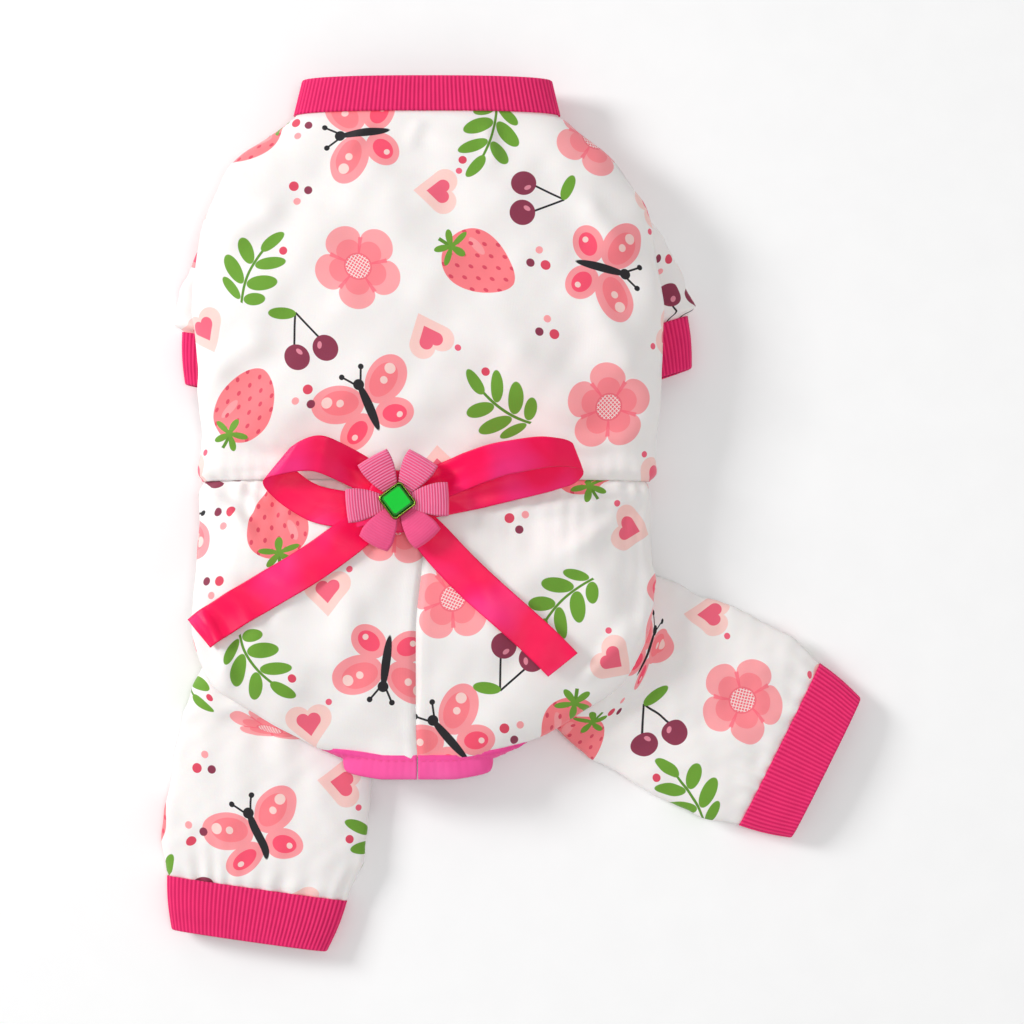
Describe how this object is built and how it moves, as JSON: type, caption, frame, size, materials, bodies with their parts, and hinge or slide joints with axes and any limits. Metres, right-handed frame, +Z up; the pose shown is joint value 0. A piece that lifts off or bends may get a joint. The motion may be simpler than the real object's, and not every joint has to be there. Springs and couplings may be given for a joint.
{
  "type": "dog jumpsuit",
  "caption": "Dog jumpsuit in printed knit with rib cuffs, a bound belly opening and a pink ribbon bow with a flower and a green stone, lying flat.",
  "frame": {"origin": "middle of the part's outline in plan, on the floor it lies on", "axes": "+Z up from the floor, +Y towards the neck, +X towards the side of the splayed hind leg"},
  "size_m": [0.2835, 0.3545, 0.0522],
  "materials": {
    "knit": "matte printed jersey",
    "rib": "matte rib knit",
    "binding": "matte bias tape",
    "satin": "satin ribbon",
    "grosgrain": "ribbed ribbon",
    "snap": "glossy",
    "rim": "polished",
    "stone": "polished facets"
  },
  "bodies": {
    "root": {"back_bodice": "knit", "belly_panel_left": "knit", "belly_panel_right": "knit", "binding_left": "binding", "binding_right": "binding", "bow_backing": "satin", "bow_loop_left": "satin", "bow_loop_right": "satin", "bow_tail_left": "satin", "bow_tail_right": "satin", "gem_rim": "rim", "gem_stone": "stone", "leg_cuff_left": "rib", "leg_cuff_right": "rib", "leg_left": "knit", "leg_right": "knit", "neckband": "rib", "petal_1": "grosgrain", "petal_2": "grosgrain", "petal_3": "grosgrain", "petal_4": "grosgrain", "petal_5": "grosgrain", "petal_6": "grosgrain", "seat_panel_left": "knit", "seat_panel_right": "knit", "sleeve_cuff_left": "rib", "sleeve_cuff_right": "rib", "sleeve_left": "knit", "sleeve_right": "knit", "snap_1": "snap", "snap_2": "snap", "snap_3": "snap"}
  },
  "joints": []
}
